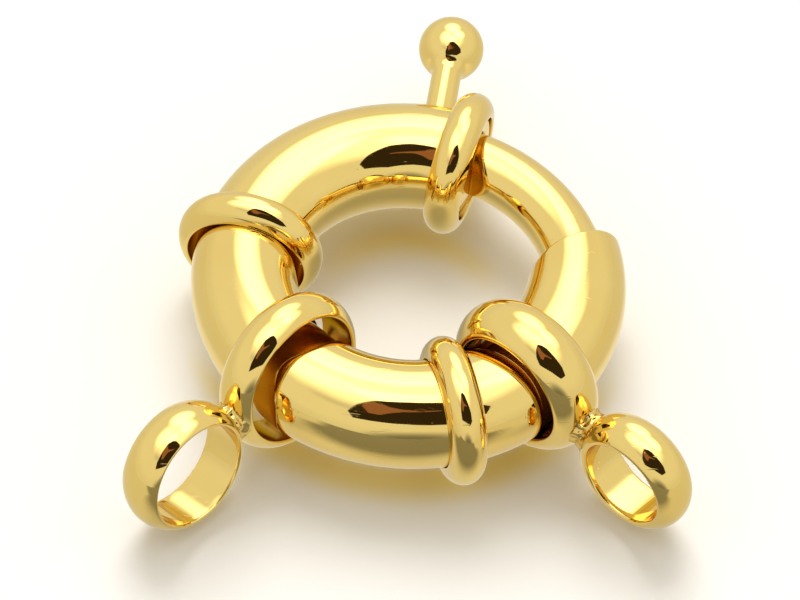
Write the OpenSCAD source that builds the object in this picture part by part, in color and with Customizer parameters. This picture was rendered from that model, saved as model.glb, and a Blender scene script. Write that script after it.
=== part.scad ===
// Spring ring clasp with three half-round collars and two figure-eight connectors.
// The ring lies flat: its centre is the origin, +Z is up, the trigger points along +Y.
// Azimuths are degrees counter-clockwise from +X, seen from above.

/* [Ring tube] */
// Diameter of the ring's centre line
ring_d = 16.6; // [15.6:0.1:18]
// Outer diameter of the tube
tube_d = 5.4; // [5.1:0.1:5.8]
// Azimuth of the mouth that receives the bolt's tip
mouth_az = 12.7; // [10:0.1:16]
// Skew of the mouth's face, in degrees: its outer lip is the longer one
mouth_skew = 14.5; // [5:0.5:18]
// Azimuth of the end that the bolt slides out of
root_az = 70.5; // [69.5:0.1:71]
// Azimuth of the thin wall that the spring pushes against
stop_az = 207; // [195:1:210]
// Thickness of that wall
stop_t = 0.8; // [0.5:0.1:1.5]

/* [Grooves for the connectors] */
// Diameter of the neck inside each groove
neck_d = 5; // [4.8:0.1:5]
// Azimuth of the left groove's middle
left_groove_az = 229; // [228.5:0.1:229.5]
// Width of the left groove
left_groove_w = 2.45; // [2.4:0.05:2.8]
// Outward flare of each side of the left groove, in degrees
left_groove_flare = 5.5; // [0:0.5:6]
// Azimuth of the right groove's middle
right_groove_az = 318.4; // [318.2:0.1:318.4]
// Width of the right groove
right_groove_w = 3.4; // [3.4:0.05:3.8]
// Outward flare of each side of the right groove, in degrees
right_groove_flare = 0; // [0:0.5:1]

/* [Bolt and trigger] */
// Diameter of the curved bolt
bolt_d = 3.2; // [2.8:0.1:3.4]
// How far the bolt and its bore lie outside the tube's centre line
bolt_offset = 0.28; // [0:0.02:0.3]
// Radial clearance of the bolt in its bore
bolt_play = 0.07; // [0.04:0.01:0.1]
// How far the closed bolt's tip reaches into the mouth, in degrees
tip_depth = 8; // [7:0.5:10]
// How far the bolt runs on behind the trigger, in degrees
bolt_tail = 12; // [9:1:15]
// Azimuth of the trigger when the ring is closed
trigger_az = 85; // [84:0.5:88]
// Diameter of the trigger's post
post_d = 1.6; // [1.2:0.1:1.8]
// Diameter of the trigger's ball
ball_d = 3.4; // [3:0.1:4]
// Distance from the ring's centre to the ball's centre
ball_reach = 15.8; // [15.2:0.1:17]
// Radius of the fillet between post and ball
ball_fillet = 0.7; // [0.3:0.1:1]
// Clearance beside the post in its slot
slot_play = 0.12; // [0.08:0.01:0.25]

/* [Spring] */
// Diameter of the spring's wire
wire_d = 0.36; // [0.25:0.01:0.45]
// Number of turns
spring_turns = 15; // [10:1:17]
// Clearance round the coil and at its ends
spring_play = 0.1; // [0.06:0.01:0.2]

/* [Collars] */
// Outer diameter of a collar
collar_d = 7.5; // [7.3:0.1:8]
// Width of a collar along the tube
collar_w = 1.9; // [1.5:0.1:2]
// Gap between a fitted collar and the tube
collar_gap = 0.04; // [0.03:0.01:0.1]
// Azimuth of the front collar
front_az = 288.5; // [284:0.5:291]
// Azimuth of the back collar
back_az = 75; // [74.5:0.1:75.5]
// Sideways lean of the back collar, in degrees
back_lean = 2; // [0:0.5:3]
// Azimuth of the left collar
left_az = 168.5; // [164:0.5:172]
// Clearance of the left collar, which is loose on the tube
left_collar_play = 0.2; // [0.1:0.05:0.4]
// Sideways lean of the left collar, in degrees
left_collar_lean = -2; // [-4:0.5:0]

/* [Connectors] */
// Outer diameter of the loop that goes round the neck
loop_d = 8.4; // [8.2:0.1:8.8]
// Distance from that loop's centre to the eye's centre
eye_reach = 7.45; // [7.3:0.05:7.6]
// Width of the eye's band
eye_w = 2.4; // [2:0.1:2.8]
// Diameter of the soldered waist between loop and eye
waist_d = 2.1; // [1.6:0.1:2.2]
// Least clearance between a neck and the bottom of the loop that stands round it
loop_play = 0.1; // [0.06:0.01:0.12]

/* [Left connector] */
// Hole diameter of the left loop
left_loop_hole = 7; // [6.8:0.1:7.2]
// Width of the left loop's band
left_loop_w = 2.2; // [2:0.1:2.6]
// Hole diameter of the left eye
left_eye_hole = 5.5; // [5.2:0.1:5.8]
// Outer diameter of the left eye
left_eye_d = 6.8; // [6.6:0.1:7]
// Azimuth of the left connector
left_conn_az = 228.4; // [228:0.1:229]
// Clearance between the neck and the left loop, on the ring's inner side
left_loop_gap = 0.75; // [0.7:0.05:0.85]
// Angle between the left connector and the ring's radius, in degrees
left_conn_turn = 0.6; // [-1:0.1:1]
// Sideways lean of the left connector, in degrees
left_conn_lean = 10; // [6:0.5:10]

/* [Right connector] */
// Hole diameter of the right loop
right_loop_hole = 6.2; // [6.1:0.1:6.6]
// Width of the right loop's band
right_loop_w = 3; // [2.6:0.1:3.1]
// Hole diameter of the right eye
right_eye_hole = 4.6; // [4.3:0.1:5]
// Outer diameter of the right eye
right_eye_d = 6.4; // [6.2:0.1:6.6]
// Azimuth of the right connector
right_conn_az = 317.6; // [317.4:0.1:318]
// Clearance between the neck and the right loop, on the ring's inner side
right_loop_gap = 0.55; // [0.5:0.05:0.6]
// Angle between the right connector and the ring's radius, in degrees
right_conn_turn = 2.5; // [1:0.5:3]
// Sideways lean of the right connector, in degrees
right_conn_lean = 0; // [-1:0.5:1]

/* [Hidden] */
gold = [0.86, 0.72, 0.33];
steel = [0.7, 0.7, 0.72];
$fn = 96;

ring_r = ring_d / 2;
left_collar_hole = tube_d + 2 * left_collar_play;
// Radius of the curve that the bolt and its bore follow
bolt_r = ring_r + bolt_offset;
bore_d = bolt_d + 2 * bolt_play;
gap_angle = root_az - mouth_az;
// The bolt's whole travel, from the closed ring to a tip flush with the tube's end
travel = gap_angle + tip_depth;
tip_az = mouth_az - tip_depth;
tail_az = trigger_az + bolt_tail;
slot_w = post_d + 2 * slot_play;
// Angle that a length takes up along the ring's centre line
function arc_angle(len) = len / ring_r * 180 / PI;
// Azimuth that the tube reaches before its mouth is cut to its skew
mouth_reach = 360 + mouth_az + arc_angle(tube_d / 2 * tan(mouth_skew)) + 1;
// Azimuth where the coil begins and ends
coil_start = tail_az + arc_angle(spring_play + wire_d / 2);
coil_end = stop_az - arc_angle(stop_t / 2 + spring_play + wire_d / 2);
coil_r = bore_d / 2 - spring_play - wire_d / 2;

// Radius of the dome on a half-round band of wall t and width w
function dome_r(t, w) = (w * w / 4 + t * t) / (2 * t);
// Height of a leaning band's centre above the table it stands on
function stand_height(outer_d, hole_d, w, lean) =
    let (rho = dome_r((outer_d - hole_d) / 2, w)) (outer_d / 2 - rho) * cos(lean) + rho;

// Distance from the ring's centre to the centre of a loop that hangs outwards round a neck
function loop_reach(hole_d, gap) = ring_r + (hole_d - neck_d) / 2 - gap;
// Depth of the table below the ring's centre, for a neck that lies in a loop of thick wall
function loop_depth(hole_d, w, lean) =
    stand_height(loop_d, hole_d, w, lean) - (hole_d - neck_d) / 2 + loop_play;
// The ring rests on its collars, or in its loops where these are the thicker
table_z = -max(collar_d / 2, loop_depth(left_loop_hole, left_loop_w, left_conn_lean),
               loop_depth(right_loop_hole, right_loop_w, right_conn_lean));

// Puts children at an azimuth on the ring, with X outwards, Y along the tube and Z up
module at_azimuth(az, r = ring_r) {
    rotate([0, 0, az]) translate([r, 0, 0]) children();
}

// Stretch of tube or rod that curves round the ring's centre at radius r
module ring_arc(d, from_az, to_az, r = ring_r) {
    rotate([0, 0, from_az]) rotate_extrude(angle = to_az - from_az) translate([r, 0]) circle(d = d);
}

// Ring of half-round band round the Z axis: flat inside, domed outside
module band(outer_d, hole_d, w) {
    wall = (outer_d - hole_d) / 2;
    rho = dome_r(wall, w);
    rotate_extrude() intersection() {
        translate([outer_d / 2 - rho, 0]) circle(r = rho);
        translate([hole_d / 2, -w / 2]) square([wall, w]);
    }
}

// Cutter for a groove: a slice with flat, flared sides round a straight neck
module groove(az, w, flare) {
    reach = tube_d * 0.75;
    near = w / 2 - reach * tan(flare);
    far = w / 2 + reach * tan(flare);
    at_azimuth(az) difference() {
        linear_extrude(2 * reach, center = true)
            polygon([[-reach, -near], [reach, -far], [reach, far], [-reach, near]]);
        rotate([90, 0, 0]) cylinder(d = neck_d, h = 3 * far, center = true);
    }
}

// Slot in the outer wall for the trigger's whole travel
module trigger_slot() {
    half = arc_angle(slot_w / 2);
    rotate([0, 0, trigger_az - half]) rotate_extrude(angle = travel + 2 * half)
        translate([ring_r, -slot_w / 2]) square([tube_d, slot_w]);
}

// Cutter that trims the tube to the skewed plane of its mouth
module mouth_cut() {
    at_azimuth(mouth_az) rotate([0, 0, mouth_skew]) translate([-tube_d, 0, -tube_d])
        cube([2 * tube_d, tube_d, 2 * tube_d]);
}

module ring_tube() {
    color(gold) difference() {
        ring_arc(tube_d, root_az, mouth_reach);
        mouth_cut();
        groove(left_groove_az, left_groove_w, left_groove_flare);
        groove(right_groove_az, right_groove_w, right_groove_flare);
        // Bore of the bolt and spring, then the hollow beyond the stop wall
        ring_arc(bore_d, root_az - 1, stop_az - arc_angle(stop_t / 2), bolt_r);
        ring_arc(bore_d, stop_az + arc_angle(stop_t / 2), mouth_reach + 1, bolt_r);
        trigger_slot();
    }
}

module bolt() {
    color(gold) difference() {
        ring_arc(bolt_d, tip_az, tail_az, bolt_r);
        // Drilled seat for the trigger's post
        at_azimuth(trigger_az, bolt_r) rotate([0, 90, 0]) cylinder(d = post_d, h = bolt_d, $fn = 48);
    }
}

module trigger() {
    seat_gap = 0.03;
    ball_r = ball_d / 2;
    post_r = post_d / 2 - seat_gap;
    // Height of the fillet's centre below the ball's centre
    fillet_x = post_r + ball_fillet;
    fillet_h = sqrt(pow(ball_r + ball_fillet, 2) - pow(fillet_x, 2));
    // Height at which the fillet meets the ball
    meet_h = fillet_h * ball_r / (ball_r + ball_fillet);
    post_base = bolt_r + seat_gap;
    color(gold) rotate([0, 0, trigger_az]) rotate([0, 90, 0]) {
        translate([0, 0, post_base]) cylinder(r = post_r, h = ball_reach - post_base, $fn = 48);
        translate([0, 0, ball_reach]) sphere(r = ball_r);
        // Concave fillet that gives the ball its pear shape
        translate([0, 0, ball_reach - fillet_h]) rotate_extrude() difference() {
            square([fillet_x * ball_r / (ball_r + ball_fillet), fillet_h - meet_h]);
            translate([fillet_x, 0]) circle(r = ball_fillet);
        }
    }
}

module spring() {
    sides = 5;
    steps = 12;
    rings = spring_turns * steps;
    // Centre of the wire after k steps, wound round the ring's centre line
    function wire_az(k) = coil_start + (coil_end - coil_start) * k / rings;
    function wire_turn(k) = 360 * k / steps;
    // Point on the wire's skin: the section is turned with the coil
    function skin(k, j) = let (
        az = wire_az(k), turn = wire_turn(k), s = 360 * j / sides,
        r = coil_r + wire_d / 2 * cos(s),
        out = bolt_r + r * cos(turn),
        along = wire_d / 2 * sin(s)
    ) [out * cos(az) - along * sin(az), out * sin(az) + along * cos(az), r * sin(turn)];
    points = [for (k = [0 : rings], j = [0 : sides - 1]) skin(k, j)];
    walls = [for (k = [0 : rings - 1], j = [0 : sides - 1]) let (n = (j + 1) % sides)
        [k * sides + j, k * sides + n, (k + 1) * sides + n, (k + 1) * sides + j]];
    first = [for (j = [sides - 1 : -1 : 0]) j];
    last = [for (j = [0 : sides - 1]) rings * sides + j];
    color(steel) polyhedron(points, concat(walls, [first, last]), convexity = 10);
}

// Collar that fits the tube: its hole follows the tube's curve
module fitted_collar(az, lean) {
    color(gold) difference() {
        at_azimuth(az) rotate([90 + lean, 0, 0]) band(collar_d, tube_d, collar_w);
        ring_arc(tube_d + 2 * collar_gap, az - 20, az + 20);
    }
}

module collar_front() {
    fitted_collar(front_az, 0);
}

module collar_back() {
    fitted_collar(back_az, back_lean);
}

// Loose collar: it stands on the table, or hangs on the tube where the table is lower
module collar_left() {
    lift = max(table_z + stand_height(collar_d, left_collar_hole, collar_w, left_collar_lean),
               collar_gap - left_collar_play);
    color(gold) at_azimuth(left_az) translate([0, 0, lift]) rotate([left_collar_lean, 0, 0])
        rotate([90, 0, 0]) band(collar_d, left_collar_hole, collar_w);
}

// Figure-eight connector: loop round the Z axis, eye along +X, joined by a soldered waist
module figure_eight(loop_hole, loop_w, eye_hole, eye_d) {
    // The waist runs from the middle of the loop's wall to the middle of the eye's wall
    waist_from = (loop_d + loop_hole) / 4;
    waist_to = eye_reach - (eye_d + eye_hole) / 4;
    band(loop_d, loop_hole, loop_w);
    translate([eye_reach, 0, 0]) band(eye_d, eye_hole, eye_w);
    difference() {
        translate([waist_from, 0, 0]) rotate([0, 90, 0])
            cylinder(d = waist_d, h = waist_to - waist_from, $fn = 48);
        cylinder(d = loop_hole, h = 2 * waist_d, center = true);
        translate([eye_reach, 0, 0]) cylinder(d = eye_hole, h = 2 * waist_d, center = true);
    }
}

// A connector stands on the table on both its bands, and pitches to touch with each
module connector(az, gap, turn, lean, loop_hole, loop_w, eye_hole, eye_d) {
    loop_h = stand_height(loop_d, loop_hole, loop_w, lean);
    eye_h = stand_height(eye_d, eye_hole, eye_w, lean);
    pitch = asin((loop_h - eye_h) / (eye_reach * cos(lean)));
    color(gold) at_azimuth(az, loop_reach(loop_hole, gap)) translate([0, 0, table_z + loop_h])
        rotate([0, 0, turn]) rotate([lean, 0, 0]) rotate([0, pitch, 0]) rotate([-90, 0, 0])
        figure_eight(loop_hole, loop_w, eye_hole, eye_d);
}

module connector_left() {
    connector(left_conn_az, left_loop_gap, left_conn_turn, left_conn_lean, left_loop_hole,
              left_loop_w, left_eye_hole, left_eye_d);
}

module connector_right() {
    connector(right_conn_az, right_loop_gap, right_conn_turn, right_conn_lean, right_loop_hole,
              right_loop_w, right_eye_hole, right_eye_d);
}

ring_tube();
bolt();
trigger();
spring();
collar_left();
collar_front();
collar_back();
connector_left();
connector_right();
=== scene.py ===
import math
import bmesh
import bpy
import numpy as np
from mathutils import Matrix, Vector


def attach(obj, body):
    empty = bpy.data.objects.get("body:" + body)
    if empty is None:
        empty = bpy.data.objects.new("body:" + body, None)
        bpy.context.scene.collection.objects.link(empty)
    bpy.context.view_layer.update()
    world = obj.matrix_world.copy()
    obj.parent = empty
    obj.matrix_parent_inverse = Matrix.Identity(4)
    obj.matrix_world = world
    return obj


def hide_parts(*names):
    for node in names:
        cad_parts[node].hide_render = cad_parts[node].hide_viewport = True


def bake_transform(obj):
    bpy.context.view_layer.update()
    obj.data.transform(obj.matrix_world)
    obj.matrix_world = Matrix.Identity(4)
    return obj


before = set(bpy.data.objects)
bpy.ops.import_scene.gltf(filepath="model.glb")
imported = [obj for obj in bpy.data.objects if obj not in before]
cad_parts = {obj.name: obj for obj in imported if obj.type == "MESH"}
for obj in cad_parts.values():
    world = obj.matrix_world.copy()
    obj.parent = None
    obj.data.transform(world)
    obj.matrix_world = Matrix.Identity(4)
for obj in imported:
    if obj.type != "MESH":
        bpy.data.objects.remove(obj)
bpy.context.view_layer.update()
scene = bpy.context.scene
mm = 0.001
print("clasp: CAD frame loaded")

# Lengths below are in millimetres and angles in degrees, until a mesh is filled. Only the
# lengths for a shader are in metres: the marks on the floor, and the relief.


# A grid of points becomes a closed skin. Neighbouring rows and columns make quads; points
# that fall together, as at a pole, become one. leaveOut drops cells, and extra adds quads
# between grid points. dull says how far the metal was left unpolished, from 0 upwards, and
# also how far its colour is painted darker as shade.
def skin(name, points, closeRows=False, leaveOut=None, extra=None, dull=None):
    rows, columns = points.shape[:2]
    index = np.arange(rows * columns).reshape(rows, columns)
    nextRow = np.roll(index, -1, 0)
    cells = np.stack([index, nextRow, np.roll(nextRow, -1, 1), np.roll(index, -1, 1)], -1)
    keep = np.ones((rows, columns), bool)
    if not closeRows:
        keep[-1] = False
    if leaveOut is not None:
        keep[leaveOut] = False
    faces = cells[keep]
    if extra is not None:
        faces = np.vstack([faces, extra])
    flat = points.reshape(-1, 3)
    _, first, where = np.unique(np.round(flat, 5), axis=0, return_index=True,
                                return_inverse=True)
    faces = where.reshape(-1)[faces]
    same = faces == np.roll(faces, -1, 1)           # a corner that equals the next one
    quads = faces[~same.any(1)]
    narrow, pinch = faces[same.sum(1) == 1], same[same.sum(1) == 1]
    triangles = narrow[~pinch].reshape(-1, 3)
    mesh = bpy.data.meshes.new(name)
    mesh.from_pydata((flat[first] * mm).tolist(), [], quads.tolist() + triangles.tolist())
    dull = np.zeros(1) if dull is None else dull
    dullAndShade = mesh.attributes.new("dull", "FLOAT", "POINT")
    dullAndShade.data.foreach_set("value", np.broadcast_to(dull, (rows, columns)).reshape(-1)[first])
    piece = bpy.data.objects.new(name, mesh)
    scene.collection.objects.link(piece)
    return piece


# Several skins become one piece, with their normals outwards and smooth shading.
def finishPiece(pieces, name, material, body, nodes):
    whole, dull = bmesh.new(), []
    for part in pieces:
        value = np.zeros(len(part.data.vertices))
        part.data.attributes["dull"].data.foreach_get("value", value)
        dull.append(value)
        one = bmesh.new()
        one.from_mesh(part.data)
        bmesh.ops.recalc_face_normals(one, faces=one.faces)
        one.to_mesh(part.data)
        one.free()
        whole.from_mesh(part.data)
    piece = pieces[0]
    for part in pieces[1:]:
        bpy.data.objects.remove(part)
    whole.to_mesh(piece.data)
    whole.free()
    piece.data.shade_smooth()
    piece.name = piece.data.name = name
    piece.data.attributes["dull"].data.foreach_set("value", np.concatenate(dull))
    piece.data.materials.append(material)
    if body:
        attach(piece, body)
    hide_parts(*nodes)
    print("clasp:", name, len(piece.data.polygons), "faces")
    return piece


def radians(*values):
    return [math.radians(value) for value in values]


# The direction at an azimuth and an elevation.
def towards(azimuth, elevation):
    a, e = radians(azimuth, elevation)
    return math.cos(a) * math.cos(e), math.sin(a) * math.cos(e), math.sin(e)


# Points turned by an angle round one axis: 0 is X, 1 is Y and 2 is Z.
def turned(points, axis, angle):
    return points @ np.array(Matrix.Rotation(math.radians(angle), 3, "XYZ"[axis])).T


# Smooth lumps, mostly between -1 and 1: a sum of sine waves that run in random directions.
def lumps(points, size, seed, waves=24):
    draw = np.random.default_rng(seed)
    direction = draw.normal(size=(waves, 3))
    direction *= (2 * np.pi / size * draw.uniform(0.6, 1.6, waves)
                  / np.linalg.norm(direction, axis=1))[:, None]
    phase = draw.uniform(0, 2 * np.pi, waves)
    return np.sin(points @ direction.T + phase).sum(-1) / np.sqrt(waves)


cameraPlace = {"lookAt": (-0.3735, -1.1703, 0.0), "distance": 249.0, "elevation": 52.0,
               "roll": 4.05, "lens": 222.5, "sensor": 36.0}


def placeCamera(place):
    elevation, roll = radians(place["elevation"], place["roll"])
    back = Vector((0, -math.cos(elevation), math.sin(elevation)))
    right, up = Vector((1, 0, 0)), back.cross(Vector((1, 0, 0)))
    turnedRight = right * math.cos(roll) + up * math.sin(roll)
    turnedUp = up * math.cos(roll) - right * math.sin(roll)
    camera = bpy.data.objects.new("camera", bpy.data.cameras.new("camera"))
    scene.collection.objects.link(camera)
    axes = Matrix((turnedRight, turnedUp, back)).transposed()
    where = Vector(place["lookAt"]) + back * place["distance"]
    camera.matrix_world = Matrix.Translation(where * mm) @ axes.to_4x4()
    camera.data.lens, camera.data.sensor_width = place["lens"], place["sensor"]
    camera.data.clip_start, camera.data.clip_end = 0.01, 20
    scene.camera = camera


placeCamera(cameraPlace)
scene.view_settings.view_transform = "Standard"
scene.cycles.max_bounces = 16
scene.cycles.glossy_bounces = 12
scene.cycles.diffuse_bounces = 6

# A white tent: even walls, a bright roof and soft lamps behind its cloth, each given by
# azimuth, elevation, spread and strength. The last two are places where the cloth is
# dimmer. The key lamp and the filling light are for the floor.
tent = {"colour": (1.0, 0.995, 0.985), "foot": 0.84, "wall": 0.93, "wallTop": 0.35,
        "roof": 1.1, "roofFrom": 45, "roofTo": 76,
        "lamps": [(90, 46, 16, 1.7), (40, 60, 13, 1.3), (165, 66, 14, 0.6), (270, 86, 9, 1.0),
                  (235, 58, 12, -0.25), (276, -8, 18, -0.62)],
        "lampEdge": (1.5, 0.5), "key": (97, 50, 16, 8.6),
        "filling": 0.92, "fillingColour": (1.0, 0.945, 0.83)}


# Short ways to add and link shader nodes in one tree.
class Nodes:
    def __init__(self, tree):
        self.tree = tree
        tree.nodes.clear()

    def add(self, kind, settings=None, **inputs):
        node = self.tree.nodes.new("ShaderNode" + kind)
        for key, value in (settings or {}).items():
            setattr(node, key, value)
        for key, value in inputs.items():
            self.put(node, key, value)
        return node

    # key is an input's name without spaces, or its number as in i0
    def put(self, node, key, value):
        names = [s.name.replace(" ", "") for s in node.inputs]
        byNumber = key[0] == "i" and key[1:].isdigit()
        self.fill(node.inputs[int(key[1:]) if byNumber else names.index(key)], value)

    def fill(self, socket, value):
        if isinstance(value, bpy.types.NodeSocket):
            self.tree.links.new(value, socket)
        elif socket.type == "RGBA":
            socket.default_value = (*value, 1)
        else:
            socket.default_value = value

    def math(self, operation, a, b=0.0, c=0.0):
        return self.add("Math", {"operation": operation}, i0=a, i1=b, i2=c).outputs[0]

    def span(self, value, low, high, to0=0.0, to1=1.0, kind="SMOOTHSTEP"):
        node = self.add("MapRange", {"interpolation_type": kind}, Value=value)
        for key, number in (("FromMin", low), ("FromMax", high), ("ToMin", to0), ("ToMax", to1)):
            self.put(node, key, number)
        return node.outputs[0]

    def mix(self, factor, first, second):
        node = self.add("Mix", {"data_type": "RGBA"}, Factor=factor)
        ends = [s for s in node.inputs if s.type == "RGBA"]
        self.fill(ends[0], first)
        self.fill(ends[1], second)
        return [s for s in node.outputs if s.type == "RGBA"][0]

    # a bump of the given strength and distance
    def relief(self, height, size, **inputs):
        node = self.add("Bump", Strength=size[0], Distance=size[1], Height=height, **inputs)
        return node.outputs[0]


def lightTent(shape):
    world = bpy.data.worlds.new("lightTent")
    scene.world = world
    world.use_nodes = True
    n = Nodes(world.node_tree)
    direction = n.add("TexCoord").outputs["Generated"]

    # a soft round spot in one direction
    def lamp(azimuth, elevation, spread, strength):
        near = n.add("VectorMath", {"operation": "DOT_PRODUCT"}, i0=direction,
                     i1=towards(azimuth, elevation))
        wide, narrow = (math.cos(a) for a in radians(*(spread * k for k in shape["lampEdge"])))
        return n.span(near.outputs["Value"], wide, narrow, 0, strength)

    height = n.add("SeparateXYZ", Vector=direction).outputs["Z"]
    low, high = (math.sin(a) for a in radians(shape["roofFrom"], shape["roofTo"]))
    glow = n.span(height, low, high, 0, shape["roof"])
    wall = n.span(height, 0, shape["wallTop"], shape["foot"], shape["wall"])
    glow = n.math("ADD", glow, wall)
    for one in shape["lamps"]:
        glow = n.math("ADD", glow, lamp(*one))
    background = n.add("Background", Strength=glow, Color=shape["colour"])

    # what the floor gets: a warm filling light, and one soft key lamp that casts the shades
    key = n.add("Background", Strength=lamp(*shape["key"]))
    filling = n.add("Background", Strength=shape["filling"], Color=shape["fillingColour"])
    soft = n.add("AddShader", i0=key.outputs[0], i1=filling.outputs[0])
    which = n.add("MixShader", i0=n.add("LightPath").outputs["Is Diffuse Ray"],
                  i1=background.outputs[0], i2=soft.outputs[0])
    n.add("OutputWorld", Surface=which.outputs[0])


lightTent(tent)

# Cards by the lens, hidden from the camera: the polished metal shows them, and they also
# shade the floor. Their corners lie on a plane that faces the clasp from half way up, in
# parts of its distance.
cards = {
    "darkCard": {"distance": 420.0, "colour": (0.036, 0.024, 0.013),
                 "corners": [(-0.36, -0.26), (0.05, -0.24), (0.40, -0.30), (0.72, -0.12),
                             (0.68, 0.14), (0.44, 0.40), (0.22, 0.60), (0.05, 0.64),
                             (-0.13, 0.57), (-0.26, 0.28), (-0.37, -0.05)]},
    "copperCard": {"distance": 418.0, "colour": (0.34, 0.15, 0.09),
                   "corners": [(-0.20, 0.03), (-0.12, 0.02), (-0.04, 0.14), (0.02, 0.20),
                               (0.13, 0.22), (0.26, 0.235), (0.26, 0.26), (0.12, 0.27),
                               (0.01, 0.29), (-0.06, 0.35), (-0.08, 0.42), (-0.14, 0.48),
                               (-0.20, 0.42), (-0.23, 0.24)]},
}


def hangCard(name, look):
    shader = bpy.data.materials.new(name)
    shader.use_nodes = True
    n = Nodes(shader.node_tree)
    n.add("OutputMaterial", Surface=n.add("Emission", Color=look["colour"]).outputs[0])
    half = math.sqrt(0.5)
    corners = np.array([(u, -half + half * v, half + half * v) for u, v in look["corners"]])
    mesh = bpy.data.meshes.new(name)
    mesh.from_pydata((corners * look["distance"] * mm).tolist(), [], [list(range(len(corners)))])
    mesh.materials.append(shader)
    card = bpy.data.objects.new(name, mesh)
    scene.collection.objects.link(card)
    card.visible_camera = False


for cardName, cardLook in cards.items():
    hangCard(cardName, cardLook)
print("clasp: camera and light placed")

# The pale floor is evenly pale, but near the ring its colour is painted golden as the ring's shade.
paleFloor = {"height": -3.75, "reach": 900.0, "colour": (0.90, 0.895, 0.885),
             "paintedShadeColour": (0.90, 0.78, 0.38), "underRing": 0.0088,
             "shadeFall": (0.0017, 0.0035), "shadeSide": (-0.000005, -0.000012)}
# A floor copy that only the metal sees: lift is the colour of its glow, and opening, near and
# inside paint it darker and brighter.
paintedMirrorFloor = {"height": -3.746, "reach": 900.0, "colour": (0.26, 0.255, 0.24),
                 "lift": (0.46, 0.45, 0.41), "opening": 0.36, "openingEdge": (0.82, 1.10),
                 "middle": 0.001, "slope": 0.65, "narrow": 0.020, "start": 0.031,
                 "depth": 0.018, "near": (0.0135, 0.017, 1.25),
                 "inside": (0.004, 0.0078, 0.5)}
paper = {"grain": 900.0, "relief": (0.05, 0.0001), "roughness": 0.9, "shine": 0.1}


# Painted shade: the floor's base colour is painted golden where the ring's shade falls, in front of
# the ring and in the back of its hole, where the way out from the ring times Y is negative.
def paintedGoldenShade(n, surface, look, part, r):
    way = n.math("SUBTRACT", r, look["underRing"])
    side = n.math("MULTIPLY", way, part.outputs["Y"])
    close = n.span(n.math("ABSOLUTE", way), *look["shadeFall"], 1, 0)
    shade = n.math("MULTIPLY", close, n.span(side, *look["shadeSide"]))
    n.put(surface, "BaseColor", n.mix(shade, look["colour"], look["paintedShadeColour"]))


# What the metal sees of the floor: a copy that glows with the lift colour, its glow and colour
# painted darkest in front of the clasp, where the tent is open. That opening is an ellipse of
# u = (x - middle) / width and v = (y + start) / depth, and the width grows with the way to
# the front. Close to the clasp it is painted brighter, and inside the ring it is painted
# darker, as the ring's shade.
def paintedMirrorShade(n, surface, look, part, r):
    wide = n.math("MAXIMUM", n.math("MULTIPLY", part.outputs["Y"], -look["slope"]), look["narrow"])
    u = n.math("DIVIDE", n.math("SUBTRACT", part.outputs["X"], look["middle"]), wide)
    v = n.math("MAXIMUM", n.math("ADD", part.outputs["Y"], look["start"]), 0.0)
    v = n.math("DIVIDE", v, look["depth"])
    far = n.math("SQRT", n.math("ADD", n.math("MULTIPLY", u, u), n.math("MULTIPLY", v, v)))
    shade = n.span(far, *look["openingEdge"], look["opening"], 1.0)
    for edge in (look["near"], look["inside"]):
        shade = n.math("MULTIPLY", shade, n.span(r, *edge, 1.0))
    for socket, colour in (("BaseColor", look["colour"]), ("EmissionColor", look["lift"])):
        dimmed = n.add("VectorMath", {"operation": "SCALE"}, i0=colour, Scale=shade)
        n.put(surface, socket, dimmed.outputs[0])
    n.put(surface, "EmissionStrength", 1.0)


def layFloor(name, look, paint):
    reach, height = look["reach"] * mm, look["height"] * mm
    corners = [(x * reach, y * reach, height) for x, y in ((-1, -1), (1, -1), (1, 1), (-1, 1))]
    mesh = bpy.data.meshes.new(name)
    mesh.from_pydata(corners, [], [(0, 1, 2, 3)])
    material = bpy.data.materials.new(name)
    material.use_nodes = True
    n = Nodes(material.node_tree)
    place = n.add("TexCoord").outputs["Object"]
    grain = n.add("TexNoise", Vector=place, Scale=paper["grain"], Detail=4.0).outputs["Fac"]
    bump = n.relief(grain, paper["relief"])
    surface = n.add("BsdfPrincipled", Roughness=paper["roughness"], Normal=bump,
                    SpecularIORLevel=paper["shine"])
    paint(n, surface, look, n.add("SeparateXYZ", Vector=place),
          n.add("VectorMath", {"operation": "LENGTH"}, i0=place).outputs["Value"])
    n.add("OutputMaterial", Surface=surface.outputs[0])
    mesh.materials.append(material)
    floor = bpy.data.objects.new(name, mesh)
    scene.collection.objects.link(floor)
    return floor


layFloor("paleFloor", paleFloor, paintedGoldenShade).visible_glossy = False
# The copy glows, with painted shade and light on it, and only the metal sees it.
mirror = layFloor("paintedMirrorFloor", paintedMirrorFloor, paintedMirrorShade)
mirror.visible_camera = mirror.visible_diffuse = mirror.visible_shadow = False

gold = {"colour": (0.87, 0.655, 0.215), "warm": (0.85, 0.60, 0.17), "clouds": 260.0,
        "cloudEdge": (0.35, 0.75, 0.0, 0.55), "roughness": (0.035, 0.075), "smudges": 900.0,
        "smudgeEdge": (0.35, 0.8), "unpolished": 0.14, "inside": (0.40, 0.19, 0.03),
        "insideMix": 0.42, "edge": (0.30, 0.13, 0.02), "hairs": 300.0,
        "hairLean": (0.4, 0.2, 0.6), "hairPull": (1, 14, 14), "hairEdge": (0.66, 0.70),
        "hairDepth": 0.35, "pitSize": 0.55, "pitReach": 0.07, "pitRare": (0.72, 0.74),
        "waves": 420.0, "waveRelief": (0.06, 0.00012), "fineRelief": (0.45, 0.000012)}
steel = {"colour": (0.62, 0.61, 0.59), "dark": (0.45, 0.44, 0.43), "clouds": 1500.0,
         "cloudEdge": (0.3, 0.7), "roughness": (0.18, 0.32), "lines": 6000.0,
         "relief": (0.2, 0.00001)}
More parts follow.
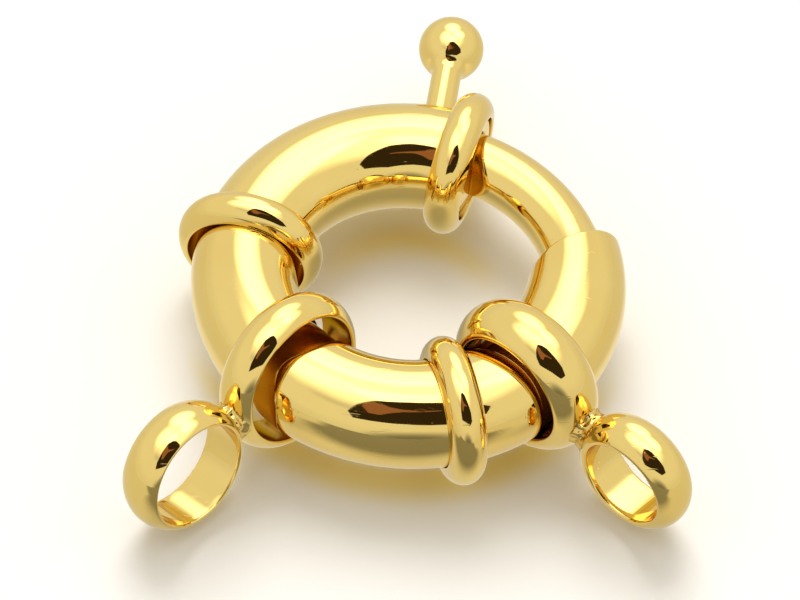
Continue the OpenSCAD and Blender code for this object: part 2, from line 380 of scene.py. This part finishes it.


# Mirror polish with faint colour clouds, hairline scratches and a few tiny pits. Places
# marked dull are rougher and browner, also where they are seen edge on: partly unpolished
# metal and partly painted shade, which darkens their colour in narrow gaps and on inner walls.
def goldPlate(look):
    material = bpy.data.materials.new("goldPlate")
    material.use_nodes = True
    n = Nodes(material.node_tree)
    place = n.add("TexCoord").outputs["Object"]
    clouds = n.add("TexNoise", Vector=place, Scale=look["clouds"], Detail=3.0).outputs["Fac"]
    colour = n.mix(n.span(clouds, *look["cloudEdge"]), look["colour"], look["warm"])
    dullAndShade = n.add("Attribute", {"attribute_name": "dull"}).outputs["Fac"]
    colour = n.mix(n.math("MULTIPLY", dullAndShade, look["insideMix"]), colour, look["inside"])
    edge = n.mix(dullAndShade, (1, 1, 1), look["edge"])
    smudge = n.add("TexNoise", Vector=place, Scale=look["smudges"], Detail=5.0,
                   Roughness=0.6).outputs["Fac"]
    dull = n.math("MULTIPLY_ADD", dullAndShade, look["unpolished"],
                  n.span(smudge, *look["smudgeEdge"], *look["roughness"]))

    # hairlines: noise pulled out along a leaning direction, cut to thin ridges
    pulled = n.add("Mapping", Vector=place, Rotation=look["hairLean"], Scale=look["hairPull"])
    streaks = n.add("TexNoise", Vector=pulled.outputs[0], Scale=look["hairs"],
                    Detail=2.0).outputs["Fac"]
    hairs = n.span(streaks, *look["hairEdge"], kind="LINEAR")
    cells = n.add("TexVoronoi", {"feature": "F1"}, Vector=place,
                  Scale=1000.0 / look["pitSize"], Randomness=1.0)
    chosen = n.add("SeparateColor", Color=cells.outputs["Color"]).outputs[0]
    pits = n.math("MULTIPLY", n.span(cells.outputs["Distance"], 0.0, look["pitReach"], 1, 0),
                  n.span(chosen, *look["pitRare"]))
    marks = n.math("SUBTRACT", n.math("MULTIPLY", hairs, -look["hairDepth"]), pits)
    waves = n.add("TexNoise", Vector=place, Scale=look["waves"], Detail=1.0).outputs["Fac"]
    swell = n.relief(waves, look["waveRelief"])
    surface = n.add("BsdfPrincipled", Metallic=1.0, BaseColor=colour, Roughness=dull,
                    SpecularTint=edge, Normal=n.relief(marks, look["fineRelief"], Normal=swell))
    n.add("OutputMaterial", Surface=surface.outputs[0])
    return material


# Drawn wire: fine grain, a little uneven in shade.
def springSteel(look):
    material = bpy.data.materials.new("springSteel")
    material.use_nodes = True
    n = Nodes(material.node_tree)
    place = n.add("TexCoord").outputs["Object"]
    clouds = n.add("TexNoise", Vector=place, Scale=look["clouds"], Detail=4.0).outputs["Fac"]
    lines = n.add("TexNoise", Vector=place, Scale=look["lines"], Detail=2.0).outputs["Fac"]
    surface = n.add("BsdfPrincipled", Metallic=1.0,
                    BaseColor=n.mix(clouds, look["colour"], look["dark"]),
                    Roughness=n.span(clouds, *look["cloudEdge"], *look["roughness"]),
                    Normal=n.relief(lines, look["relief"]))
    n.add("OutputMaterial", Surface=surface.outputs[0])
    return material


goldMetal = goldPlate(gold)
steelMetal = springSteel(steel)
print("clasp: metals mixed")

ring = {"centre": 8.3, "tube": 2.7, "boltPath": 8.58, "bore": 1.67, "root": 70.5,
        "mouth": 372.7, "mouthSkew": 14.5, "skewFrom": 340.0, "stop": 207.0, "stopWall": 0.8,
        "stopRings": (0.0, 0.8, 1.4), "slotHalf": 0.92, "slotFrom": 78.65, "slotTo": 157.15,
        "slotEdge": 0.06, "rim": 0.16, "boreEdge": 0.08, "taper": 0.45, "taperLength": 3.0,
        "slotCells": 8, "otherCells": 88, "step": 1.0, "rimRows": 7,
        "wallRows": (0.35, 0.7, 0.9), "neckRows": 25, "faceRows": 5}
# A groove's dull makes its neck rougher and paints its colour darker, as the shade in the groove.
leftGroove = {"azimuth": 229.0, "width": 2.45, "flare": 5.5, "round": 0.2, "drop": 0.3,
              "neck": 2.62, "bulgeSide": 1, "bulge": 0.76, "bulgeAt": 60.0, "bulgeSpread": 33.0,
              "back": 0.02, "fade": 26.0, "dull": 0.4}
rightGroove = {"azimuth": 318.4, "width": 3.4, "flare": 0.0, "round": 0.35, "drop": 0.35,
               "neck": 2.42, "bulgeSide": -1, "bulge": 0.36, "bulgeAt": 75.0, "bulgeSpread": 60.0,
               "back": -0.05, "fade": 15.0, "dull": 2.0}


# Angles round a section: even over the slot's width (half an angle each way), and even
# over the rest of the circle.
def sectionAngles(half):
    half = np.atleast_1d(half)[:, None]
    across = np.linspace(-1, 1, ring["slotCells"] + 1)
    rest = np.linspace(0, 1, ring["otherCells"] + 1)[1:-1]
    return np.hstack([half * across, half + (2 * np.pi - 2 * half) * rest])


outerHalf = math.asin(ring["slotHalf"] / ring["tube"])
boreHalf = math.asin(ring["slotHalf"] / ring["bore"])


# Rows of a tube that follows the ring: each row is a circle round a centre at a distance
# from the ring's middle, cut by an upright plane that passes through the centre line at
# the row's azimuth and is turned by its skew. With the radial distance d of a point, the
# plane meets it at t = -R cos(skew) + sqrt(R^2 cos^2(skew) + d^2 - R^2) beyond the line.
def tubeRows(azimuth, skew=0.0, centre=None, radius=None, half=None):
    centre = ring["centre"] if centre is None else centre
    radius = ring["tube"] if radius is None else radius
    half = outerHalf if half is None else half
    row = np.broadcast_arrays(*[np.atleast_1d(v).astype(float)
                                for v in (azimuth, skew, centre, radius, half)])
    azimuth, skew, centre, radius = [r[:, None] for r in row[:4]]
    azimuth, skew = np.radians(azimuth), np.radians(skew)
    phi = sectionAngles(row[4])
    far = centre + radius * np.cos(phi)
    lean = ring["centre"] * np.cos(skew)
    beyond = -lean + np.sqrt(lean ** 2 + far ** 2 - ring["centre"] ** 2)
    angle = azimuth + np.arctan2(beyond * np.sin(skew), ring["centre"] + beyond * np.cos(skew))
    return np.stack([far * np.cos(angle), far * np.sin(angle), radius * np.sin(phi)], -1)


def arcAngle(length):
    return math.degrees(length / ring["centre"])


# Azimuth and skew of the plane on one side (-1 or 1) of a groove. beta is the angle from
# the groove's middle to the place where the flared side meets the centre line.
def grooveSide(groove, side):
    half, flare = groove["width"] / 2, math.radians(groove["flare"])
    beta = math.asin(half / ring["centre"])
    for _ in range(4):                                  # settles in a few rounds
        beta = math.asin((half + ring["centre"] * (math.cos(beta) - 1) * math.tan(flare))
                         / ring["centre"])
    beta = math.degrees(beta)
    return groove["azimuth"] + side * beta, side * (groove["flare"] - beta)


# Rows of a groove's straight neck: a cylinder along the tangent, cut by planes between
# the groove's two flared sides (side runs from -1 to 1).
def neckRows(groove, sides):
    phi = sectionAngles(outerHalf)
    x = ring["centre"] + groove["neck"] * np.cos(phi)
    reach = groove["width"] / 2 + (x - ring["centre"]) * math.tan(math.radians(groove["flare"]))
    y = np.asarray(sides)[:, None] * reach
    points = np.stack([x + 0 * y, y, groove["neck"] * np.sin(phi) + 0 * y], -1)
    return turned(points, 2, groove["azimuth"])


# The groove with both rims: near each side the tube's surface rolls towards the neck.
def grooveRows(groove):
    bend = np.linspace(0, np.pi / 2, ring["rimRows"])
    down = np.array(ring["wallRows"])[:, None, None]
    parts = []
    for side in (-1, 1):
        azimuth, skew = grooveSide(groove, side)
        away = arcAngle(groove["round"]) * (1 - np.sin(bend))
        rim = tubeRows(azimuth + side * away, skew)
        foot = neckRows(groove, [side])
        drop = (foot - tubeRows(azimuth, skew)) * groove["drop"]
        rim = rim + (1 - np.cos(bend))[:, None, None] * drop
        both = np.vstack([rim, rim[-1:] + down * (foot - rim[-1:])])
        parts.append(both if side < 0 else both[::-1])
    neck = neckRows(groove, np.linspace(-1, 1, ring["neckRows"]))
    return np.vstack([parts[0], neck, parts[1]])


# One rim of a groove isn't flat: it bulges into the groove by a bell curve of the angle
# round the section. The points turn about Z, by fall times the bulge in each row.
def bulgeRim(points, groove, fall):
    phi = np.degrees(sectionAngles(outerHalf)[0])
    bell = np.exp(-((phi - groove["bulgeAt"]) / groove["bulgeSpread"]) ** 2)
    shift = groove["bulge"] * bell - groove["back"]
    turn = -groove["bulgeSide"] * shift * fall[:, None] / ring["centre"]
    c, s = np.cos(turn), np.sin(turn)
    x, y = points[..., 0].copy(), points[..., 1].copy()
    points[..., 0], points[..., 1] = x * c - y * s, x * s + y * c


# Where a groove's rounded rim begins: azimuth and skew on one side.
def grooveStart(groove, side):
    azimuth, skew = grooveSide(groove, side)
    return azimuth + side * arcAngle(groove["round"]), skew


# Even steps from a to b, without the two ends or with them.
def between(a, b, step, ends=False):
    count = max(2, int(round(abs(b - a) / step)) + 1)
    line = np.linspace(a, b, count)
    return line if ends else line[1:-1]


def buildRingTube():
    bend = np.linspace(0, np.pi / 2, ring["rimRows"])
    step, rim, edge = ring["step"], ring["rim"], ring["boreEdge"]
    slot = between(ring["slotFrom"], ring["slotTo"], step, True)
    wall = arcAngle(ring["stopWall"] / 2)
    boreWay = {"centre": ring["boltPath"], "half": boreHalf}
    rows, starts = [], {}

    def push(name, part):
        starts[name] = sum(len(r) for r in rows)
        rows.append(part)

    # from the stop wall out through the bore to the root
    stop = ring["stop"] - wall
    push("stop", tubeRows(stop, radius=np.array([*ring["stopRings"], ring["bore"]]), **boreWay))
    push("deep", tubeRows(between(stop, ring["slotTo"], 2 * step), radius=ring["bore"], **boreWay))
    push("slotIn", tubeRows(slot[::-1], radius=ring["bore"], **boreWay))
    push("bore", tubeRows(between(ring["slotFrom"], ring["root"] + arcAngle(edge), step, True)[1:],
                          radius=ring["bore"], **boreWay))
    face = np.linspace(0, 1, ring["faceRows"])
    small, big = ring["bore"] + edge, ring["tube"] - rim
    push("root", tubeRows(ring["root"], radius=small + face * (big - small),
                          centre=ring["boltPath"] + face * (ring["centre"] - ring["boltPath"]),
                          half=boreHalf + face * (outerHalf - boreHalf)))
    push("rootRim", tubeRows(ring["root"] + arcAngle(rim) * (1 - np.cos(bend[1:])),
                             radius=big + rim * np.sin(bend[1:])))
    # round the outside to the mouth
    push("first", tubeRows(between(ring["root"] + arcAngle(rim), ring["slotFrom"], step)))
    push("slotOut", tubeRows(slot))
    stretches = [(ring["slotTo"], 0.0, *grooveStart(leftGroove, -1)),
                 (*grooveStart(leftGroove, 1), *grooveStart(rightGroove, -1)),
                 (*grooveStart(rightGroove, 1), ring["mouth"] - arcAngle(rim), ring["mouthSkew"])]
    for number, (fromAz, fromSkew, toAz, toSkew) in enumerate(stretches):
        azimuth = between(fromAz, toAz, step)
        skew = np.interp(azimuth, [fromAz, toAz], [fromSkew, toSkew])
        push(f"stretch{number}", tubeRows(azimuth, skew))
        if number < 2:
            push(f"groove{number}", grooveRows((leftGroove, rightGroove)[number]))
    push("mouthRim", tubeRows(ring["mouth"] - arcAngle(rim) * (1 - np.sin(bend)), ring["mouthSkew"],
                              radius=big + rim * np.cos(bend)))
    back = face[1:]
    push("mouth", tubeRows(ring["mouth"], ring["mouthSkew"],
                           centre=ring["centre"] + back * (ring["boltPath"] - ring["centre"]),
                           radius=big + back * (small - big),
                           half=outerHalf + back * (boreHalf - outerHalf)))
    # and back inside to the other face of the stop wall
    stop = ring["stop"] + wall
    azimuth = between(ring["mouth"] - arcAngle(edge), stop, 2 * step, True)
    skew = np.interp(azimuth, [ring["skewFrom"], ring["mouth"]], [0, ring["mouthSkew"]])
    push("deepMouth", tubeRows(azimuth, skew, radius=ring["bore"], **boreWay))
    push("stopBack", tubeRows(stop, radius=np.array(ring["stopRings"][::-1]), **boreWay))
    points = np.vstack(rows)

    # the bore and the necks are dull, and the necks' colour is also painted darker, as the
    # shade in the grooves; one rim of each groove bulges; the tube beside it follows, less and
    # less with the distance
    dull = np.zeros(len(points))
    dull[:starts["root"]] = dull[starts["deepMouth"]:] = 1
    rowAzimuth = np.degrees(np.arctan2(points[:, 0, 1], points[:, 0, 0])) % 360
    for number, groove in enumerate((leftGroove, rightGroove)):
        start, end = starts[f"groove{number}"], starts[f"stretch{number + 1}"]
        rim = len(bend) + len(ring["wallRows"])
        dull[start + len(bend):end - len(bend)] = groove["dull"]
        across = np.concatenate([np.zeros(rim), np.linspace(0, 1, end - start - 2 * rim),
                                 np.ones(rim)])
        if groove["bulgeSide"] > 0:
            rowsOn = slice(start, starts.get(f"groove{number + 1}", starts["mouthRim"]))
            away = rowAzimuth[end:rowsOn.stop] - rowAzimuth[end]
        else:
            rowsOn = slice(starts[f"stretch{number}"], end)
            away, across = rowAzimuth[start - 1] - rowAzimuth[rowsOn.start:start], across[::-1]
        fade = np.clip(1 - away / groove["fade"], 0, 1) ** 1.5
        fall = np.concatenate([across, fade] if groove["bulgeSide"] > 0 else [fade, across])
        bulgeRim(points[rowsOn], groove, fall)

    # the inner side draws in towards the mouth, over the last few millimetres
    outside = np.zeros(len(points), bool)
    outside[starts["stretch2"]:starts["mouth"] + len(back) - 1] = True
    middle = ring["centre"] * np.array(towards(ring["mouth"], 0))
    facing = np.array(towards(ring["mouth"] + ring["mouthSkew"] + 90, 0))
    depth = -(points - middle) @ facing
    azimuth = np.arctan2(points[..., 1], points[..., 0])
    flat = np.hypot(points[..., 0], points[..., 1])
    inward = np.clip((ring["centre"] - flat) / ring["tube"], 0, 1)
    draw = ring["taper"] * np.clip(1 - depth / ring["taperLength"], 0, 1) ** 2 * inward ** 1.5
    draw = draw * outside[:, None]
    points[..., 0] += draw * np.cos(azimuth)
    points[..., 1] += draw * np.sin(azimuth)

    # the trigger's slot: cells left out of the wall's two skins, and their edges joined
    count, cells = len(slot), ring["slotCells"]
    columns = points.shape[1]
    leaveOut = np.zeros(points.shape[:2], bool)
    for name in ("slotIn", "slotOut"):
        leaveOut[starts[name]:starts[name] + count - 1, :cells] = True
    along, across = np.arange(count), np.arange(cells + 1)
    loopRow = np.concatenate([along, np.full(cells, count - 1), along[-2::-1],
                              np.zeros(cells - 1, int)])
    loopColumn = np.concatenate([0 * along, across[1:], np.full(count - 1, cells), across[-2:0:-1]])
    outer = (starts["slotOut"] + loopRow) * columns + loopColumn
    inner = (starts["slotIn"] + count - 1 - loopRow) * columns + loopColumn
    walls = np.stack([outer, np.roll(outer, -1), np.roll(inner, -1), inner], -1)
    piece = skin("ringTube", points, leaveOut=leaveOut, extra=walls, dull=dull[:, None])
    finishPiece([piece], "ringTube", goldMetal, "ring", ["ring_tube"])
    bevel = piece.modifiers.new("slotEdge", "BEVEL")
    bevel.width, bevel.segments = ring["slotEdge"] * mm, 3
    bevel.limit_method, bevel.angle_limit = "ANGLE", math.radians(60)


buildRingTube()

boltRod = {"from": 4.7, "to": 97.0, "radius": 1.6, "edge": 0.35, "edgeRows": 8,
           "capRing": 0.6, "step": 1.0}


# A rod along the bolt's path: circles whose radius follows a quarter round at each end.
def buildBolt(rod):
    bend = np.linspace(0, np.pi / 2, rod["edgeRows"])
    edge, full, cap = rod["edge"], rod["radius"], rod["capRing"]
    grow = np.degrees(edge * (1 - np.cos(bend)) / ring["boltPath"])
    radius = full - edge + edge * np.sin(bend)
    azimuth = np.concatenate([[rod["from"]] * 2, rod["from"] + grow,
                              between(rod["from"] + grow[-1], rod["to"] - grow[-1], rod["step"]),
                              rod["to"] - grow[::-1], [rod["to"]] * 2])
    middle = len(azimuth) - 2 * len(bend) - 4
    radius = np.concatenate([[0, cap], radius, np.full(middle, full), radius[::-1], [cap, 0]])
    points = tubeRows(azimuth, centre=ring["boltPath"], radius=radius)
    finishPiece([skin("boltRod", points)], "boltRod", goldMetal, "bolt", ["bolt"])


buildBolt(boltRod)

triggerKnob = {"azimuth": 85.0, "post": 0.77, "ball": 1.7, "reach": 15.8, "fillet": 0.7,
               "base": 8.61, "chamfer": 0.08, "postFrom": 0.6, "postShort": 0.2,
               "postRows": 10, "filletRows": 15, "ballRows": 44, "sides": 72}


# A turned knob: post, concave fillet and ball, as radii at heights along the axis, which
# is carried round by the angle. The fillet's centre is ball + fillet away from the ball's.
def buildTrigger(knob):
    ball, fillet = knob["ball"], knob["fillet"]
    filletX = knob["post"] + fillet
    filletH = math.sqrt((ball + fillet) ** 2 - filletX ** 2)
    meet = math.atan2(filletX, filletH)                 # where fillet and ball meet
    hollow = np.linspace(np.pi / 2, meet, knob["filletRows"] + 1)[:-1]
    crown = np.linspace(np.pi - meet, 0, knob["ballRows"])
    base, foot, chamfer = knob["base"], knob["reach"] - filletH, knob["chamfer"]
    post = np.linspace(base + knob["postFrom"], foot - knob["postShort"], knob["postRows"])
    height = np.concatenate([[base, base, base + chamfer], post,
                             foot + fillet * np.cos(hollow),
                             knob["reach"] + ball * np.cos(crown)])
    radius = np.concatenate([[0, knob["post"] - chamfer, knob["post"]],
                             np.full(len(post), knob["post"]),
                             filletX - fillet * np.sin(hollow), ball * np.sin(crown)])
    radius[-1] = 0
    angle = np.linspace(0, 2 * np.pi, knob["sides"], endpoint=False)
    points = np.stack([height[:, None] + 0 * angle, radius[:, None] * np.cos(angle),
                       radius[:, None] * np.sin(angle)], -1)
    points = turned(points, 2, knob["azimuth"])
    finishPiece([skin("triggerKnob", points)], "triggerKnob", goldMetal, "bolt",
                ["trigger"])


buildTrigger(triggerKnob)

coil = {"from": 98.93, "to": 202.3, "radius": 1.39, "wire": 0.18, "turns": 15, "steps": 28,
        "sides": 10}


# A circle carried along a helix that is itself wound along the bolt's path.
def buildSpring(shape):
    rings = shape["turns"] * shape["steps"]
    k = np.arange(rings + 1)
    azimuth = np.radians(shape["from"] + (shape["to"] - shape["from"]) * k / rings)[:, None]
    wind = (2 * np.pi * k / shape["steps"])[:, None]
    s = np.linspace(0, 2 * np.pi, shape["sides"], endpoint=False)
    size = np.concatenate([[0], np.full(rings - 1, 1.0), [0]])[:, None] * shape["wire"]
    out = shape["radius"] + size * np.cos(s)
    along = size * np.sin(s)
    far = ring["boltPath"] + out * np.cos(wind)
    points = np.stack([far * np.cos(azimuth) - along * np.sin(azimuth),
                       far * np.sin(azimuth) + along * np.cos(azimuth), out * np.sin(wind)], -1)
    piece = finishPiece([skin("coilSpring", points)], "coilSpring", steelMetal,
                        None, ["spring"])
    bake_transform(piece)


buildSpring(coil)


# Outline of a half-round band as (height across, radius): a dome outside, a flat inside
# and a small round at each corner. The dome's radius is c + (A^2 + t^2) / (2 t), with the
# half width A and wall t left inside the corner rounds c.
def bandOutline(outer, hole, width, corner, dome=40, turnSteps=9, flat=9):
    a, t = width / 2 - corner, outer - hole - 2 * corner
    rho = corner + (a * a + t * t) / (2 * t)
    low = outer - rho
    limit = math.atan2(a, hole + corner - low)
    over = np.linspace(limit, -limit, dome)
    roll = np.linspace(limit, np.pi, turnSteps)[1:]
    inside = np.linspace(a, -a, flat)[1:-1]
    h = [rho * np.sin(over), -(a + corner * np.sin(roll)), -inside,
         (a + corner * np.sin(roll))[::-1]]
    r = [low + rho * np.cos(over), hole + corner + corner * np.cos(roll), np.full(flat - 2, hole),
         (hole + corner + corner * np.cos(roll))[::-1]]
    return np.concatenate(h), np.concatenate(r)


# The outline carried round an axis: X and Y in the band's plane, Z along the axis. The
# inside is unpolished by the given part, up to a little way round its corners, and its
# colour is painted darker there as shade on the inner wall.
def bandPoints(outer, hole, width, corner, inside, count=168):
    h, r = bandOutline(outer, hole, width, corner)
    angle = np.linspace(0, 2 * np.pi, count, endpoint=False)[:, None]
    dull = inside * np.clip(1 - (r - hole) / (0.4 * corner), 0, 1)
    return np.stack([r * np.cos(angle), r * np.sin(angle), h + 0 * angle], -1), dull


# How high the middle of a standing band is, when it leans: its dome's radius is
# (A^2 + t^2) / (2 t) with the half width A and the wall t, the dome's centre is that much
# less than outer away from the middle, and the dome touches the table under its centre.
def standHeight(outer, hole, width, lean):
    wall = outer - hole
    rho = (width * width / 4 + wall * wall) / (2 * wall)
    return (outer - rho) * math.cos(math.radians(lean)) + rho


# A collar's dull paints its inner wall darker, as shade, besides making it rougher; the loose
# collar's, above 2, paints the dark of the narrow gap between it and the tube.
collars = {
    "frontCollar": {"node": "collar_front", "azimuth": 288.5, "lean": 0.0, "hole": 2.74,
                    "dull": 1.0},
    "backCollar": {"node": "collar_back", "azimuth": 75.0, "lean": 2.0, "hole": 2.74,
                   "dull": 1.0},
    "looseCollar": {"node": "collar_left", "azimuth": 168.5, "lean": -2.0, "hole": 2.9,
                    "dull": 2.1},
}
collarShape = {"outer": 3.75, "width": 1.9, "corner": 0.1, "skinDepth": 0.25,
               "hang": 0.16, "oval": 0.13}
tableZ = paleFloor["height"]


# A band round the tube; a fitted one's hole follows the tube's curve, so its inner skin
# moves in by R - sqrt(R^2 - h^2) at the height h along the tube. The loose one's hole is a
# little oval and low, because it hangs on the tube.
def buildCollar(name, collar):
    points, dull = bandPoints(collarShape["outer"], collar["hole"], collarShape["width"],
                              collarShape["corner"], inside=collar["dull"])
    h, r = points[..., 2], np.hypot(points[..., 0], points[..., 1])
    fitted = collar["node"] != "collar_left"
    if fitted:
        inner = np.clip(1 - (r - collar["hole"]) / collarShape["skinDepth"], 0, 1)
        points[..., 0] -= inner * (ring["centre"] - np.sqrt(ring["centre"] ** 2 - h ** 2))
    else:
        wall = (collarShape["outer"] - r) / (collarShape["outer"] - collar["hole"])
        points[..., 0] *= 1 + wall * collarShape["oval"] / r
        points[..., 1] -= wall * collarShape["hang"]
    points = turned(points, 0, 90)
    points = turned(points, 0, collar["lean"])
    lift = 0.0 if fitted else tableZ + standHeight(collarShape["outer"], collar["hole"],
                                                   collarShape["width"], collar["lean"])
    points = turned(points + np.array([ring["centre"], 0, lift]), 2, collar["azimuth"])
    finishPiece([skin(name, points, closeRows=True, dull=dull)], name, goldMetal,
                "ring", [collar["node"]])


for collarName, collarPlace in collars.items():
    buildCollar(collarName, collarPlace)

# A connector's inside paints its loop's inner wall darker, as shade, besides making it rougher.
connectors = {
    "leftConnector": {"node": "connector_left", "azimuth": 228.4, "gap": 0.75, "turn": 0.6,
                      "lean": 10.0, "loopHole": 3.5, "loopWidth": 2.2, "eyeHole": 2.75,
                      "eye": 3.4, "corner": 0.12, "lip": 0.07, "loopCorner": 0.16, "inside": 0.9,
                      "seed": 3},
    "rightConnector": {"node": "connector_right", "azimuth": 317.6, "gap": 0.55, "turn": 2.5,
                       "lean": 0.0, "loopHole": 3.1, "loopWidth": 3.0, "eyeHole": 2.3,
                       "eye": 3.2, "corner": 0.18, "lip": 0.14, "loopCorner": 0.27, "inside": 0.5,
                       "seed": 8},
}
connectorShape = {"loop": 4.2, "reach": 7.45, "eyeWidth": 2.4, "eyeInside": 0.1, "neck": 2.5}
solder = {"across": 1.22, "deep": 0.95, "length": 0.5, "flare": 0.7, "lump": 0.045,
          "lumpSize": 0.7, "crease": 0.075, "creaseSize": 0.75, "dull": 0.45,
          "rows": 31, "sides": 96, "capRing": 0.7}


# Solder between loop and eye: a short lumpy column along X, wider at both ends, whose
# radius is 1 + flare x^2 of an ellipse, with lumps and creases; its closed ends lie inside
# the bands.
def solderPoints(x, seed):
    along = np.linspace(-1, 1, solder["rows"])
    swell = 1 + solder["flare"] * (along * solder["length"]) ** 2
    swell = np.concatenate([[0, solder["capRing"]], swell, [solder["capRing"], 0]])[:, None]
    along = np.concatenate([[-1, -1], along, [1, 1]])[:, None]
    angle = np.linspace(0, 2 * np.pi, solder["sides"], endpoint=False)
    points = np.stack([x + solder["length"] * along + 0 * angle,
                       solder["across"] * swell * np.cos(angle),
                       solder["deep"] * swell * np.sin(angle)], -1)
    bump = 1 + solder["lump"] * lumps(points, solder["lumpSize"], seed)
    bump = bump - solder["crease"] * np.abs(lumps(points, solder["creaseSize"], seed + 1))
    points[..., 1:] *= bump[..., None]
    return points


# The two bands stand on the table, so the connector pitches by the angle whose sine is
# the difference of their standing heights over the distance between their centres.
def buildConnector(name, shape):
    outer, reach = connectorShape["loop"], connectorShape["reach"]
    loop, loopDull = bandPoints(outer, shape["loopHole"] - shape["lip"], shape["loopWidth"],
                                shape["loopCorner"], shape["inside"])
    eye, eyeDull = bandPoints(shape["eye"], shape["eyeHole"], connectorShape["eyeWidth"],
                              shape["corner"], connectorShape["eyeInside"])
    eye = eye + np.array([reach, 0, 0])
    blob = solderPoints((outer + reach - shape["eye"]) / 2, shape["seed"])
    lean = shape["lean"]
    loopHeight = standHeight(outer, shape["loopHole"], shape["loopWidth"], lean)
    eyeHeight = standHeight(shape["eye"], shape["eyeHole"], connectorShape["eyeWidth"], lean)
    pitch = math.degrees(math.asin((loopHeight - eyeHeight)
                                   / (reach * math.cos(math.radians(lean)))))
    away = ring["centre"] + shape["loopHole"] - connectorShape["neck"] - shape["gap"]
    middle = np.array([away, 0, tableZ + loopHeight])
    skins = []
    for points, closed, dull in ((loop, True, loopDull), (eye, True, eyeDull),
                                 (blob, False, solder["dull"])):
        for axis, angle in ((0, -90), (1, pitch), (0, lean), (2, shape["turn"])):
            points = turned(points, axis, angle)
        points = turned(points + middle, 2, shape["azimuth"])
        skins.append(skin(name, points, closeRows=closed, dull=dull))
    finishPiece(skins, name, goldMetal, shape["node"], [shape["node"]])


for connectorName, connectorPlace in connectors.items():
    buildConnector(connectorName, connectorPlace)
